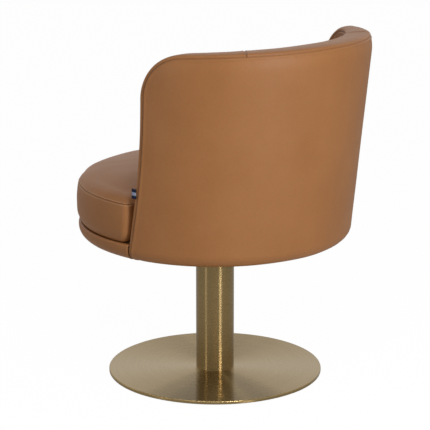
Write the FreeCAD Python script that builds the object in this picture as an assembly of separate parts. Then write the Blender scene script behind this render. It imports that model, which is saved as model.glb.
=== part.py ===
import FreeCAD
import Part
import math
import os
from functools import cache

# A swivel dining chair: a round boxed cushion in an upholstered tub back, turning on one column
# that stands on a round floor plate. Millimetres, +Z up, the origin on the floor on the column's
# axis. The sitter faces -Y and the middle of the back is at +Y.

# Floor plate and the grip ring that it stands on
plate_diameter = 450.0
plate_thickness = 7.0
plate_edge_radius = 1.5
grip_diameter = 436.0
grip_width = 22.0
grip_thickness = 1.5

# Column and the boss that holds it to the plate
column_diameter = 80.0
column_wall = 2.0
column_length = 286.5
foot_height = 16.0
foot_bore = 24.0
foot_screw_count = 4
foot_screw_circle = 50.0
foot_screw_diameter = 8.0
foot_screw_head = 16.0
foot_screw_head_height = 4.4
foot_screw_grip = 13.0

# Bearing housing in the column's top
housing_flange = 4.0
housing_depth = 60.0
housing_bore = 34.0
bush_length = 20.0
spindle_diameter = 25.0
spindle_tail_depth = 26.0
retainer_diameter = 44.0
retainer_thickness = 3.0
retainer_bolt_diameter = 10.0
retainer_bolt_head = 17.0
retainer_bolt_head_height = 6.4

# Thrust bearing between the housing and the seat
race_thickness = 2.0
race_outer_diameter = 66.0
race_inner_diameter = 28.0
ball_diameter = 6.0
ball_count = 12
ball_circle = 48.0
cage_thickness = 3.0
cage_width = 14.0

# Swivel plate under the seat board
swivel_plate_side = 190.0
swivel_plate_corner = 20.0
swivel_plate_thickness = 4.0
plate_bolt_spacing = 150.0
plate_bolt_diameter = 8.0
plate_bolt_head = 14.0
plate_bolt_head_height = 4.4
washer_diameter = 17.0
washer_thickness = 1.6
tee_nut_flange = 22.0
tee_nut_flange_thickness = 1.2
tee_nut_barrel = 10.2
tee_nut_barrel_length = 11.0

# Plywood of the seat
board_thickness = 18.0
base_ring_thickness = 10.4
base_ring_width = 57.0
rail_bottom_above_underside = 15.6
wood_screw_diameter = 4.0
wood_screw_head = 8.0
wood_screw_length = 25.0
ring_screw_count = 8
ring_screw_length = 22.0
edge_screw_step = 24.0
edge_screws_each_side = 3

# Upholstery: leather, foam and plywood from the outside in
leather = 1.5
wall_foam = 7.5
ply = 9.0
edge_foam = 8.0
deck_pad_thickness = 4.7
dust_cloth = 0.6
dust_cover_hole = 90.0

# The base ring's edge sets these: how far the leather turns in under it, and how far inside it
# the dust cover ends and its staples stand
hem_width = 22.0
dust_cover_margin = 7.0
staple_margin = 14.0

# Seat and tub back
seat_diameter = 568.0
hem_radius = 27.0
back_height = 436.7
back_lean = 7.13
tub_diameter_at_seat = 491.0
tub_diameter_at_top = 539.0
back_thickness_at_seat = 51.5
back_thickness_at_top = 70.0
wing_front_at_underside = 27.8
wing_front_at_top = 74.1
wing_front_rise = 418.6
wing_front_bow = 13.7
wing_corner_radius = 98.0
rim_tilt = 3.49
rim_seam_angle = 41.0

# Cushion: its widest radius, the ears beside the wings, and how far each level draws in.
# Each level is a height above the deck and the distance drawn in from the widest outline.
cushion_diameter = 574.0
cushion_ear_y = 31.0
cushion_ear_lean = 0.09
cushion_ear_corner = 14.0
cushion_seam_level = 4
cushion_levels = [
    (0.0, 9.0),
    (12.0, 3.0),
    (38.0, 0.0),
    (62.0, 1.0),
    (81.0, 5.0),
    (91.0, 13.0),
    (98.5, 26.0),
    (105.0, 52.0),
    (110.5, 105.0),
    (113.5, 200.0),
]
cushion_top_step = 3.0
cushion_top_corner = 2.0
cushion_cloth = 1.0

# Small cloth tab in the seam of the wing at +X
tab_height = 20.0
tab_reach = 12.0
tab_thickness = 1.2
tab_above_underside = 132.0
tab_inside_seam = 2.5

# Staples that hold the dust cover
staple_count = 20
staple_crown = 10.0
staple_leg = 7.0
staple_wire = 0.6
staple_start_angle = 9.0

# Clearances
slip_gap = 0.1
running_gap = 0.05
end_play = 0.3
ball_play = 0.15
seam_gap = 0.2
cushion_gap = 2.0
bolt_hole_gap = 0.3

# Heights that follow from the stack of pieces
plate_bottom = grip_thickness
plate_top = plate_bottom + plate_thickness
tube_top = plate_top + column_length
housing_top = tube_top + housing_flange
housing_bottom = housing_top - housing_depth
lower_race_top = housing_top + race_thickness
ball_height = lower_race_top + ball_play + ball_diameter / 2
upper_race_bottom = ball_height + ball_diameter / 2 + ball_play
swivel_plate_bottom = upper_race_bottom + race_thickness
board_bottom = swivel_plate_bottom + swivel_plate_thickness
board_top = board_bottom + board_thickness
deck_top = board_top + deck_pad_thickness
underside = board_bottom - base_ring_thickness - leather
rail_bottom = underside + rail_bottom_above_underside
back_top = underside + back_height

# Radii that follow from the layers
shell_radius = seat_diameter / 2
board_radius = shell_radius - leather - wall_foam - ply
base_ring_radius = shell_radius - hem_radius
hem_inner_radius = base_ring_radius - hem_width
dust_cover_radius = base_ring_radius - dust_cover_margin
staple_radius = base_ring_radius - staple_margin
tube_inner_radius = column_diameter / 2 - column_wall
spindle_radius = spindle_diameter / 2
lean_slope = math.tan(math.radians(back_lean))
lean_start = underside + hem_radius

# Boxes and prisms that only cut or keep reach this far past the chair
reach = 400.0
above_all = back_top + 60.0


def vec(x, y, z):
    return FreeCAD.Vector(x, y, z)


def polar(radius, degrees, z):
    """A point at a radius and an angle from +X."""
    turn = math.radians(degrees)
    return vec(radius * math.cos(turn), radius * math.sin(turn), z)


def cylinder(radius, low, high, x=0.0, y=0.0):
    return Part.makeCylinder(radius, high - low, vec(x, y, low))


def ring(outer, inner, low, high):
    return cylinder(outer, low, high).cut(cylinder(inner, low, high))


def between(low, high):
    """A block wider than the chair that keeps what lies between two heights."""
    return Part.makeBox(2 * reach, 2 * reach, high - low, vec(-reach, -reach, low))


def group(solids):
    return Part.makeCompound(solids)


def square_corners(spacing):
    half = spacing / 2
    return [(x, y) for x in (-half, half) for y in (-half, half)]


def grip_ring():
    outer = grip_diameter / 2
    return ring(outer, outer - grip_width, 0.0, plate_bottom)


def foot_screws():
    """Countersunk screws from under the plate up into the boss."""
    screws = []
    for index in range(foot_screw_count):
        place = polar(foot_screw_circle / 2, 45.0 + index * 360.0 / foot_screw_count, plate_bottom)
        head = Part.makeCone(foot_screw_head / 2, foot_screw_diameter / 2, foot_screw_head_height, place)
        top = plate_top + foot_screw_grip
        shank = cylinder(foot_screw_diameter / 2, plate_bottom, top, place.x, place.y)
        screws.append(head.fuse(shank).removeSplitter())
    return screws


def floor_plate():
    plate = cylinder(plate_diameter / 2, plate_bottom, plate_top)
    rims = [edge for edge in plate.Edges if edge.Closed]
    return plate.makeFillet(plate_edge_radius, rims).cut(group(foot_screws()))


def column_tube():
    return ring(column_diameter / 2, tube_inner_radius, plate_top, tube_top)


def column_foot():
    boss = ring(tube_inner_radius - slip_gap, foot_bore / 2, plate_top, plate_top + foot_height)
    return boss.cut(group(foot_screws()))


def bearing_housing():
    """A turned plug in the tube with a flange that covers the tube's end."""
    flange = cylinder(column_diameter / 2, tube_top, housing_top)
    plug = cylinder(tube_inner_radius - slip_gap, housing_bottom, tube_top)
    bore = cylinder(housing_bore / 2, housing_bottom, housing_top)
    return flange.fuse(plug).cut(bore).removeSplitter()


def bush(low):
    return ring(housing_bore / 2, spindle_radius + running_gap, low, low + bush_length)


def race(low):
    return ring(race_outer_diameter / 2, race_inner_diameter / 2, low, low + race_thickness)


def ball_places():
    return [polar(ball_circle / 2, index * 360.0 / ball_count, ball_height) for index in range(ball_count)]


def bearing_balls():
    return group([Part.makeSphere(ball_diameter / 2, place) for place in ball_places()])


def ball_cage():
    middle = ball_circle / 2
    low = ball_height - cage_thickness / 2
    high = ball_height + cage_thickness / 2
    cage = ring(middle + cage_width / 2, middle - cage_width / 2, low, high)
    pocket = ball_diameter / 2 + ball_play
    pockets = [cylinder(pocket, low, high, place.x, place.y) for place in ball_places()]
    return cage.cut(group(pockets))


def spindle_foot():
    """Height of the spindle's lower end, just below the housing."""
    return housing_bottom - end_play


def spindle_bolt():
    head_low = spindle_foot() - retainer_thickness - retainer_bolt_head_height
    head_high = head_low + retainer_bolt_head_height
    corner = retainer_bolt_head / 2 / math.cos(math.radians(30.0))
    corners = [polar(corner, 60.0 * index, head_low) for index in range(7)]
    head = Part.Face(Part.makePolygon(corners)).extrude(vec(0, 0, retainer_bolt_head_height))
    shank = cylinder(retainer_bolt_diameter / 2, head_high, spindle_foot() + spindle_tail_depth)
    return head.fuse(shank).removeSplitter()


def spindle_washer():
    hole = retainer_bolt_diameter / 2 + slip_gap
    return ring(retainer_diameter / 2, hole, spindle_foot() - retainer_thickness, spindle_foot())


def spindle():
    shaft = cylinder(spindle_radius, spindle_foot(), board_bottom)
    return shaft.cut(spindle_bolt())


def swivel_plate():
    """A square plate with round corners, welded round the spindle's top."""
    half = swivel_plate_side / 2
    plate = Part.makeBox(swivel_plate_side, swivel_plate_side, swivel_plate_thickness,
                         vec(-half, -half, swivel_plate_bottom))
    uprights = [edge for edge in plate.Edges if abs(edge.tangentAt(edge.FirstParameter).z) > 0.9]
    plate = plate.makeFillet(swivel_plate_corner, uprights)
    hole = plate_bolt_diameter / 2 + bolt_hole_gap
    holes = [cylinder(hole, swivel_plate_bottom, board_bottom, x, y)
             for x, y in square_corners(plate_bolt_spacing)]
    return plate.cut(group(holes)).cut(cylinder(spindle_radius, swivel_plate_bottom, board_bottom))


def plate_washers():
    low = swivel_plate_bottom - washer_thickness
    washers = []
    for x, y in square_corners(plate_bolt_spacing):
        disc = cylinder(washer_diameter / 2, low, swivel_plate_bottom, x, y)
        hole = cylinder(plate_bolt_diameter / 2 + bolt_hole_gap, low, swivel_plate_bottom, x, y)
        washers.append(disc.cut(hole))
    return group(washers)


def plate_bolts():
    head_high = swivel_plate_bottom - washer_thickness
    head_low = head_high - plate_bolt_head_height
    top = board_top - bolt_hole_gap
    bolts = []
    for x, y in square_corners(plate_bolt_spacing):
        head = cylinder(plate_bolt_head / 2, head_low, head_high, x, y)
        shank = cylinder(plate_bolt_diameter / 2, head_low, top, x, y)
        bolts.append(head.fuse(shank).removeSplitter())
    return group(bolts)


def tee_nuts():
    """Flanged nuts let into the top of the board over the plate's bolts."""
    flange_top = board_top + tee_nut_flange_thickness
    nuts = []
    for x, y in square_corners(plate_bolt_spacing):
        flange = cylinder(tee_nut_flange / 2, board_top, flange_top, x, y)
        barrel = cylinder(tee_nut_barrel / 2, board_top - tee_nut_barrel_length, board_top, x, y)
        bore = cylinder(plate_bolt_diameter / 2, board_top - tee_nut_barrel_length, flange_top, x, y)
        nuts.append(flange.fuse(barrel).cut(bore).removeSplitter())
    return group(nuts)


def wood_screw(length):
    """A countersunk wood screw along +X, its head's flat at the origin."""
    cone_length = (wood_screw_head - wood_screw_diameter) / 2
    axis = vec(1, 0, 0)
    head = Part.makeCone(wood_screw_head / 2, wood_screw_diameter / 2, cone_length, vec(0, 0, 0), axis)
    shank = Part.makeCylinder(wood_screw_diameter / 2, length, vec(0, 0, 0), axis)
    return head.fuse(shank).removeSplitter()


def ring_screws():
    """Screws up through the base ring into the board."""
    middle = base_ring_radius - base_ring_width / 2
    screws = []
    for index in range(ring_screw_count):
        screw = wood_screw(ring_screw_length)
        screw.rotate(vec(0, 0, 0), vec(0, 1, 0), -90.0)
        place = polar(middle, (index + 0.5) * 360.0 / ring_screw_count, underside + leather)
        screw.translate(place)
        screws.append(screw)
    return group(screws)


@cache
def edge_screws(middle_angle):
    """Screws through the bent plywood into the board's edge, spread about one angle."""
    height = (rail_bottom + board_top) / 2
    screws = []
    for index in range(-edge_screws_each_side, edge_screws_each_side + 1):
        angle = middle_angle + index * edge_screw_step
        screw = wood_screw(wood_screw_length)
        screw.rotate(vec(0, 0, 0), vec(0, 0, 1), angle + 180.0)
        screw.translate(polar(board_radius + ply, angle, height))
        screws.append(screw)
    return group(screws)


def seat_board():
    board = cylinder(board_radius, board_bottom, board_top)
    shank_holes = [cylinder(tee_nut_barrel / 2, board_bottom, board_top, x, y)
                   for x, y in square_corners(plate_bolt_spacing)]
    screws = group([ring_screws(), edge_screws(90.0), edge_screws(-90.0)])
    return board.cut(group(shank_holes)).cut(screws)


def base_ring():
    body = ring(base_ring_radius, base_ring_radius - base_ring_width, underside + leather, board_bottom)
    return body.cut(ring_screws()).cut(staples())


@cache
def staples():
    """Wire staples from below, each a crown with two legs."""
    crown_low = underside - dust_cloth - staple_wire
    made = []
    for index in range(staple_count):
        left = vec(-staple_crown / 2, staple_radius - staple_wire / 2, crown_low)
        right = vec(staple_crown / 2 - staple_wire, staple_radius - staple_wire / 2, crown_low)
        crown = Part.makeBox(staple_crown, staple_wire, staple_wire, left)
        legs = [Part.makeBox(staple_wire, staple_wire, staple_leg, foot) for foot in (left, right)]
        staple = crown.fuse(legs).removeSplitter()
        staple.rotate(vec(0, 0, 0), vec(0, 0, 1), staple_start_angle - 90.0 + index * 360.0 / staple_count)
        made.append(staple)
    return group(made)


def dust_cover():
    cloth = ring(dust_cover_radius, dust_cover_hole / 2, underside - dust_cloth, underside)
    return cloth.cut(staples())


@cache
def outer_form(inset):
    """All that lies inside the outer wall, drawn in by inset: a rounded foot, then a leaning wall."""
    low = underside + inset
    flat = shell_radius - hem_radius
    roll = hem_radius - inset
    middle = vec(flat + roll * math.sin(math.radians(45.0)), 0,
                 lean_start - roll * math.cos(math.radians(45.0)))
    corner = vec(flat, 0, low)
    side = vec(flat + roll, 0, lean_start)
    edges = [
        Part.makeLine(vec(0, 0, low), corner),
        Part.Arc(corner, middle, side).toShape(),
        Part.makeLine(side, vec(0, 0, lean_start)),
        Part.makeLine(vec(0, 0, lean_start), vec(0, 0, low)),
    ]
    foot = Part.Face(Part.Wire(edges)).revolve(vec(0, 0, 0), vec(0, 0, 1), 360.0)
    levels = [(lean_start, 0.0), (above_all, lean_slope * (above_all - lean_start))]
    wires = [circle_of_arcs(flat + roll, centre_y, z) for z, centre_y in levels]
    return foot.fuse(Part.makeLoft(wires, True, True))


def share_up(z):
    """How far up the tub a height lies: 0 at the seat board, 1 at the rim."""
    return (z - board_top) / (back_top - board_top)


def outer_back(z):
    """The outer wall's farthest point back at a height."""
    return shell_radius + lean_slope * (z - lean_start)


def tub_radius(z):
    low = tub_diameter_at_seat / 2
    high = tub_diameter_at_top / 2
    return low + (high - low) * share_up(z)


def tub_centre(z):
    thickness_change = back_thickness_at_top - back_thickness_at_seat
    thickness = back_thickness_at_seat + thickness_change * share_up(z)
    return outer_back(z) - thickness - tub_radius(z)


def circle_of_arcs(radius, centre_y, z, count=3):
    """A closed circle made of equal arcs, each under a half circle."""
    step = 360.0 / count
    arcs = []
    for index in range(count):
        points = [polar(radius, 90.0 + (index + part) * step, z) + vec(0, centre_y, 0)
                  for part in (0.0, 0.5, 1.0)]
        arcs.append(Part.Arc(points[0], points[1], points[2]).toShape())
    return Part.Wire(arcs)


@cache
def tub_form(outset):
    """The space inside the back, widened by outset."""
    wires = [circle_of_arcs(tub_radius(z) + outset, tub_centre(z), z) for z in (board_top, above_all)]
    return Part.makeLoft(wires, True, True)


def wing_front_circle():
    """Centre and radius of the long arc that the wing's front edge follows, seen from the side."""
    low = vec(0, wing_front_at_underside, underside)
    high = vec(0, wing_front_at_top, underside + wing_front_rise)
    chord = high - low
    radius = chord.Length ** 2 / (8 * wing_front_bow) + wing_front_bow / 2
    forward = vec(0, -chord.z, chord.y).normalize()
    middle = (low + high) * 0.5
    return middle + forward * (radius - wing_front_bow), radius


@cache
def side_form(inset):
    """The back seen from the side: front edge, round corner and tilted rim, drawn in by inset."""
    centre, edge_radius = wing_front_circle()
    tilt = math.radians(rim_tilt)
    along = vec(0, math.cos(tilt), math.sin(tilt))
    upward = vec(0, -math.sin(tilt), math.cos(tilt))
    rim_back = vec(0, outer_back(back_top), back_top)
    start = rim_back - upward * wing_corner_radius
    offset = start - centre
    nearness = offset.dot(along)
    excess = offset.dot(offset) - (edge_radius + wing_corner_radius) ** 2
    corner = start + along * (math.sqrt(nearness ** 2 - excess) - nearness)

    outward = (corner - centre).normalize()
    edge_end = centre + outward * (edge_radius + inset)
    rim_start = corner + upward * (wing_corner_radius - inset)
    bisector = (upward - outward).normalize()
    corner_middle = corner + bisector * (wing_corner_radius - inset)
    low = underside - leather
    edge_start = vec(0, centre.y + math.sqrt((edge_radius + inset) ** 2 - (low - centre.z) ** 2), low)
    halfway = ((edge_start - centre).normalize() + outward).normalize()
    rim_end = rim_start + along * reach
    edges = [
        Part.Arc(edge_start, centre + halfway * (edge_radius + inset), edge_end).toShape(),
        Part.Arc(edge_end, corner_middle, rim_start).toShape(),
        Part.makeLine(rim_start, rim_end),
        Part.makeLine(rim_end, vec(0, rim_end.y, low)),
        Part.makeLine(vec(0, rim_end.y, low), edge_start),
    ]
    outline = Part.Wire(edges)
    outline.translate(vec(-reach, 0, 0))
    return Part.Face(outline).extrude(vec(2 * reach, 0, 0))


@cache
def frame_core():
    """The room that the seat's plywood takes inside the upholstery, with the hem's opening below."""
    opening = cylinder(hem_inner_radius, underside - leather, underside + leather)
    ring_room = cylinder(base_ring_radius, underside + leather, board_bottom)
    board_room = cylinder(board_radius, board_bottom, board_top)
    return opening.fuse([ring_room, board_room])


def back_form(inset):
    """The whole upholstered back, drawn in by inset on every side that shows."""
    body = outer_form(inset).common(side_form(inset))
    return body.cut(tub_form(inset)).cut(frame_core())


@cache
def bent_sheet():
    """Bent plywood that follows the back's outer wall, before it is drilled."""
    outside = leather + wall_foam
    sheet = outer_form(outside).cut(outer_form(outside + ply))
    return sheet.common(side_form(leather + edge_foam)).common(between(rail_bottom, above_all))


def back_board():
    return bent_sheet().cut(frame_core()).cut(edge_screws(90.0))


@cache
def back_stuffing():
    """All of the back's foam, round both faces and the edge of the board."""
    return back_form(leather).cut(bent_sheet())


def inside_of_ply():
    room = outer_form(leather + wall_foam + ply)
    return room.common(between(board_top, above_all))


def back_outer_foam():
    return back_stuffing().cut(inside_of_ply()).cut(edge_screws(90.0))


def back_inner_foam():
    return back_stuffing().common(inside_of_ply())


def back_outer_cover():
    """Leather over the outer wall, turned in under the seat and stapled to the base ring."""
    sheet = outer_form(0.0).cut(outer_form(leather)).common(side_form(leather))
    return sheet.cut(frame_core()).cut(staples())


def back_inner_cover():
    sheet = tub_form(leather).cut(tub_form(0.0)).common(side_form(leather))
    return sheet.common(outer_form(leather))


@cache
def border_strip():
    """The strip over the rim and down both front edges."""
    return back_form(0.0).cut(side_form(leather)).cut(staples())


def rim_wedge():
    """A wedge about the middle of the back, out to the cross seams on the rim."""
    centre_y = lean_slope * (back_top - lean_start)
    low = lean_start
    middle = vec(0, centre_y, low)
    side = 2 * reach
    corners = [middle]
    for angle in (90.0 - rim_seam_angle, 90.0 + rim_seam_angle):
        corners.append(middle + polar(side, angle, 0.0))
    corners.append(middle)
    return Part.Face(Part.makePolygon(corners)).extrude(vec(0, 0, above_all - low))


def rim_border():
    return border_strip().common(rim_wedge())


def wing_border(direction):
    """One wing's length of the border, at +X or -X."""
    low = underside - leather
    x_low = 0.0 if direction > 0 else -reach
    half = Part.makeBox(reach, 2 * reach, above_all - low, vec(x_low, -reach, low))
    return border_strip().common(half).cut(rim_wedge())


def front_region():
    """All that lies in front of the wings' edges and below the deck."""
    room = between(underside - leather, deck_top).cut(side_form(-seam_gap))
    return room.cut(cylinder(board_radius, board_bottom, deck_top))


def front_rail():
    outside = outer_form(leather + wall_foam)
    rail = outside.common(between(rail_bottom, deck_top - leather)).common(front_region())
    return rail.cut(edge_screws(-90.0))


def band_foam():
    rail = outer_form(leather + wall_foam).common(between(rail_bottom, deck_top - leather))
    foam = outer_form(leather).common(between(underside, deck_top - leather)).common(front_region())
    return foam.cut(rail).cut(frame_core()).cut(edge_screws(-90.0))


def front_band_cover():
    """Leather over the front band, turned in above the rail and under the base ring."""
    inside = outer_form(leather).common(between(underside, deck_top - leather))
    sheet = outer_form(0.0).common(front_region()).cut(inside)
    return sheet.cut(frame_core()).cut(staples())


def deck_pad():
    pad = cylinder(board_radius, board_top, deck_top)
    return pad.cut(back_form(0.0)).cut(tee_nuts())


def drawn_levels(skin):
    """The cushion's levels moved inwards by a skin, square to its profile."""
    last = len(cushion_levels) - 1
    moved = []
    for index, (height, inset) in enumerate(cushion_levels):
        height_before, inset_before = cushion_levels[max(index - 1, 0)]
        height_after, inset_after = cushion_levels[min(index + 1, last)]
        rise = height_after - height_before
        run = inset_after - inset_before
        length = math.hypot(rise, run)
        moved.append((height - skin * run / length, inset + skin * rise / length))
    return moved


def cushion_outline(height, inset, melt):
    """One level of the cushion. The ears beside the wings melt away as melt goes from 0 to 1."""
    z = deck_top + height
    front = cushion_diameter / 2 - inset
    rear = (tub_radius(z) - cushion_gap - inset) * (1 - melt) + (front - cushion_top_step) * melt
    rear_centre = tub_centre(z) * (1 - melt)
    ear_y = (cushion_ear_y + cushion_ear_lean * height - inset) * (1 - melt)
    corner = cushion_ear_corner * (1 - melt) + cushion_top_corner * melt
    corner_y = ear_y - corner
    corner_x = math.sqrt((front - corner) ** 2 - corner_y ** 2)
    meet = vec(corner_x, corner_y, 0).normalize() * front
    bisector = (vec(corner_x, corner_y, 0).normalize() + vec(0, 1, 0)).normalize()
    corner_middle = vec(corner_x, corner_y, 0) + bisector * corner
    neck_x = math.sqrt(rear ** 2 - (ear_y - rear_centre) ** 2)
    half = math.radians(-45.0)

    def at(x, y):
        return vec(x, y, z)

    edges = []
    for side in (1, -1):
        front_middle = at(side * front * math.cos(half), front * math.sin(half))
        rear_turn = math.atan2(ear_y - rear_centre, neck_x)
        rear_middle_turn = (rear_turn + math.pi / 2) / 2
        rear_middle = at(side * rear * math.cos(rear_middle_turn),
                         rear_centre + rear * math.sin(rear_middle_turn))
        path = [
            Part.Arc(at(0, -front), front_middle, at(side * meet.x, meet.y)).toShape(),
            Part.Arc(at(side * meet.x, meet.y), at(side * corner_middle.x, corner_middle.y),
                     at(side * corner_x, ear_y)).toShape(),
            Part.makeLine(at(side * corner_x, ear_y), at(side * neck_x, ear_y)),
            Part.Arc(at(side * neck_x, ear_y), rear_middle, at(0, rear_centre + rear)).toShape(),
        ]
        edges.extend(path if side > 0 else reversed(path))
    return Part.Wire(edges)


def cushion_form(skin, cloth):
    """The crowned cushion with its sides drawn in, inside a skin and above its bottom cloth."""
    levels = drawn_levels(skin)
    levels[0] = (cloth, levels[0][1])
    steps = len(levels) - 1 - cushion_seam_level
    wires = []
    for index, (height, inset) in enumerate(levels):
        melt = max(index - cushion_seam_level, 0) / steps
        wires.append(cushion_outline(height, inset, melt))
    return Part.makeLoft(wires, True, True)


@cache
def cushion_foam():
    return cushion_form(leather, cushion_cloth)


@cache
def cushion_cover():
    return cushion_form(0.0, 0.0).cut(cushion_foam())


def cushion_seam():
    return deck_top + cushion_levels[cushion_seam_level][0]


def cushion_top_cover():
    return cushion_cover().common(between(cushion_seam(), above_all))


def cushion_boxing():
    return cushion_cover().common(between(deck_top + cushion_cloth, cushion_seam()))


def cushion_base_cloth():
    return cushion_cover().common(between(deck_top, deck_top + cushion_cloth))


def label_tab():
    """A folded cloth tab that stands forward from the front seam of the wing at +X."""
    centre, edge_radius = wing_front_circle()
    low = underside + tab_above_underside
    middle = low + tab_height / 2
    seam_y = centre.y + math.sqrt((edge_radius + leather) ** 2 - (middle - centre.z) ** 2)
    wall_x = math.sqrt(shell_radius ** 2 - (seam_y - lean_slope * (middle - lean_start)) ** 2)
    corner = vec(wall_x + seam_gap, seam_y + tab_inside_seam - tab_reach, low)
    return Part.makeBox(tab_thickness, tab_reach, tab_height, corner)


nodes = {
    "grip_ring": grip_ring(),
    "floor_plate": floor_plate(),
    "column_tube": column_tube(),
    "column_foot": column_foot(),
    "column_screws": group(foot_screws()),
    "bearing_housing": bearing_housing(),
    "upper_bush": bush(housing_top - bush_length),
    "lower_bush": bush(housing_bottom),
    "lower_race": race(housing_top),
    "ball_cage": ball_cage(),
    "bearing_balls": bearing_balls(),
    "upper_race": race(upper_race_bottom),
    "spindle": spindle(),
    "spindle_washer": spindle_washer(),
    "spindle_bolt": spindle_bolt(),
    "swivel_plate": swivel_plate(),
    "plate_bolts": plate_bolts(),
    "plate_washers": plate_washers(),
    "tee_nuts": tee_nuts(),
    "base_ring": base_ring(),
    "ring_screws": ring_screws(),
    "seat_board": seat_board(),
    "front_rail": front_rail(),
    "rail_screws": edge_screws(-90.0),
    "back_board": back_board(),
    "back_screws": edge_screws(90.0),
    "deck_pad": deck_pad(),
    "band_foam": band_foam(),
    "back_outer_foam": back_outer_foam(),
    "back_inner_foam": back_inner_foam(),
    "front_band_cover": front_band_cover(),
    "back_outer_cover": back_outer_cover(),
    "back_inner_cover": back_inner_cover(),
    "rim_border": rim_border(),
    "wing_border_left": wing_border(1),
    "wing_border_right": wing_border(-1),
    "cushion_foam": cushion_foam(),
    "cushion_top_cover": cushion_top_cover(),
    "cushion_boxing": cushion_boxing(),
    "cushion_base_cloth": cushion_base_cloth(),
    "label_tab": label_tab(),
    "dust_cover": dust_cover(),
    "cover_staples": staples(),
}

os.makedirs("parts", exist_ok=True)
for name, shape in nodes.items():
    shape.exportStep("parts/" + name + ".step")
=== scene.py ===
import math
import bpy
import numpy as np
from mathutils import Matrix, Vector, noise
from mathutils.bvhtree import BVHTree
from mathutils.kdtree import KDTree


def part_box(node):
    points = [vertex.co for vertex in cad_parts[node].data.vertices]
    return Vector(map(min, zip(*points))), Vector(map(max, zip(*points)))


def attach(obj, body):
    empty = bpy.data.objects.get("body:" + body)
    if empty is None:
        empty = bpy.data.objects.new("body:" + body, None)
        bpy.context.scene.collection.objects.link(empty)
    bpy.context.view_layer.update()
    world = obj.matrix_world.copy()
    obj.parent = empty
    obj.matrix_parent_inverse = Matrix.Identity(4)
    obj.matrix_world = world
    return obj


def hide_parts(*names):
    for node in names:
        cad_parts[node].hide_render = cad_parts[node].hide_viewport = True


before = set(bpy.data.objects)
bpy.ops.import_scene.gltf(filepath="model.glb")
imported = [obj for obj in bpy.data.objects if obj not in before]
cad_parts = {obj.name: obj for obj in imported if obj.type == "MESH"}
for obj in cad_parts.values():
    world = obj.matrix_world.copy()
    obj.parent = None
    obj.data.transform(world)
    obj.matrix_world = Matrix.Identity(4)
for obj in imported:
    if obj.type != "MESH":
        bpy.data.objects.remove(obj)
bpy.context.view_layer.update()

# Floor plate: a heavy steel disc, brushed in rings on a turntable and plated in a brass colour.
# It stands on a rubber ring glued under its edge, and four countersunk screws in its middle hold
# the column.


def linear(code):
    """A hex colour as on a colour card, turned linear for a shader."""
    shares = [int(code[place:place + 2], 16) / 255 for place in (1, 3, 5)]
    return [share / 12.92 if share <= 0.04045 else ((share + 0.055) / 1.055) ** 2.4
            for share in shares] + [1.0]


def fill_in(node, inputs):
    """Fill in a node's inputs. Each is a value, an output to link, or a node for its first output."""
    for name, value in inputs.items():
        if isinstance(value, bpy.types.Node):
            value = value.outputs[0]
        if isinstance(value, bpy.types.NodeSocket):
            node.id_data.links.new(value, node.inputs[name])
        else:
            node.inputs[name].default_value = value


def add_node(tree, kind, inputs=None, **settings):
    """Add a node with its settings, then fill in its inputs."""
    node = tree.nodes.new(kind)
    for name, value in settings.items():
        setattr(node, name, value)
    fill_in(node, inputs or {})
    return node


def new_material(name):
    """A new material with its node tree, its shader, and the place on the object for patterns."""
    material = bpy.data.materials.new(name)
    material.use_nodes = True
    tree = material.node_tree
    place = add_node(tree, "ShaderNodeTexCoord").outputs["Object"]
    return material, tree, tree.nodes["Principled BSDF"], place


def dress(node, material):
    """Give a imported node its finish."""
    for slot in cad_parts[node].material_slots:
        slot.material = material


# Brushed brass plating. The brush ran round the axis, so each mark is part of a ring: light
# smears across the rings, which draws rays on the plate and keeps upright lines on the column
# sharp. Real marks lie 0.1 mm apart. They are drawn 0.5 mm apart, with bands of 5 mm that show
# from a step away.
brass, tree, shader, place = new_material("brushed brass plating")
flat_place = add_node(tree, "ShaderNodeVectorMath", {0: place, 1: (1.0, 1.0, 0.0)}, operation="MULTIPLY")
from_axis = add_node(tree, "ShaderNodeVectorMath", {0: flat_place}, operation="LENGTH")
round_axis = add_node(tree, "ShaderNodeVectorMath", {0: flat_place}, operation="NORMALIZE")
split_place = add_node(tree, "ShaderNodeSeparateXYZ", {0: place})
split_turn = add_node(tree, "ShaderNodeSeparateXYZ", {0: round_axis})
across_rings = add_node(tree, "ShaderNodeMath", {
    0: from_axis.outputs["Value"], 1: split_place.outputs["Z"]}, operation="ADD")
marks = []
for rings_apart, turn_scale in ((0.0005, 5.0), (0.005, 1.5)):
    rings = add_node(tree, "ShaderNodeMath", {0: across_rings, 1: 1 / rings_apart}, operation="MULTIPLY")
    along_x = add_node(tree, "ShaderNodeMath", {
        0: split_turn.outputs["X"], 1: turn_scale}, operation="MULTIPLY")
    along_y = add_node(tree, "ShaderNodeMath", {
        0: split_turn.outputs["Y"], 1: turn_scale}, operation="MULTIPLY")
    ring_place = add_node(tree, "ShaderNodeCombineXYZ", {"X": rings, "Y": along_x, "Z": along_y})
    marks.append(add_node(tree, "ShaderNodeTexNoise", {
        "Vector": ring_place, "Scale": 1.0, "Detail": 2.0, "Roughness": 0.6}))
fine_marks, broad_bands = marks
brass_tone = add_node(tree, "ShaderNodeMix", {
    "Factor": broad_bands, 6: linear("#8B7650"), 7: linear("#9A845C")}, data_type="RGBA")
polish = add_node(tree, "ShaderNodeMapRange", {
    "Value": fine_marks, "From Min": 0.3, "From Max": 0.7, "To Min": 0.265, "To Max": 0.28})
ridges = add_node(tree, "ShaderNodeBump", {
    "Height": fine_marks, "Strength": 0.03, "Distance": 0.00002})
ring_tangent = add_node(tree, "ShaderNodeTangent", direction_type="RADIAL", axis="Z")
fill_in(shader, {
    "Metallic": 1.0, "Anisotropic": 1.0, "Anisotropic Rotation": 0.25,
    "Base Color": brass_tone.outputs[2], "Roughness": polish, "Normal": ridges, "Tangent": ring_tangent})
dress("floor_plate", brass)

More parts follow.
